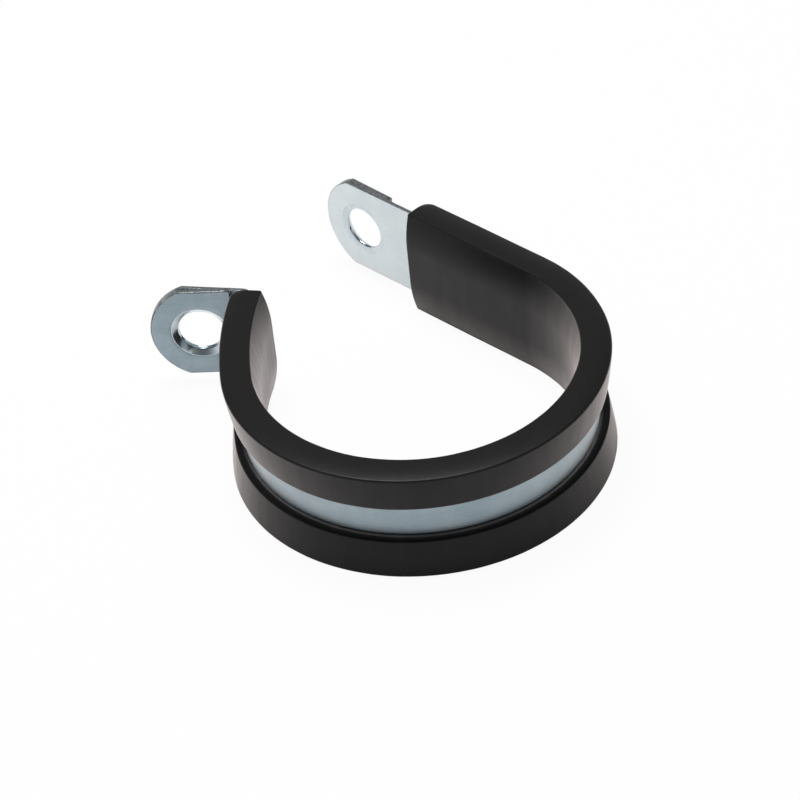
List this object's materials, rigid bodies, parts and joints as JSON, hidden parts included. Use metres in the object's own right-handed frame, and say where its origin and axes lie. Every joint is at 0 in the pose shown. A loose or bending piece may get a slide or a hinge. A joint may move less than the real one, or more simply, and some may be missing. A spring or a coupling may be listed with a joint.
{
  "type": "p clip",
  "caption": "Rubber-lined steel P clip for a pipe or cable, sprung open and lying on its side, with a straight ear and an out-turned ear for a bolt.",
  "frame": {"origin": "centre of the loop's round arc, at half the width of the clip", "axes": "+Z along the axis of the held pipe or cable, -X along the straight leg towards its ear, +Y from the loop's centre towards the straight leg"},
  "size_m": [0.0937, 0.0736, 0.0238],
  "materials": {
    "zinc_plated_steel": "satin",
    "black_rubber": "satin"
  },
  "bodies": {
    "root": {"strap": "zinc_plated_steel", "rubber_liner": "black_rubber", "straight_ear_plate": "zinc_plated_steel", "turned_ear_plate": "zinc_plated_steel"}
  },
  "joints": []
}
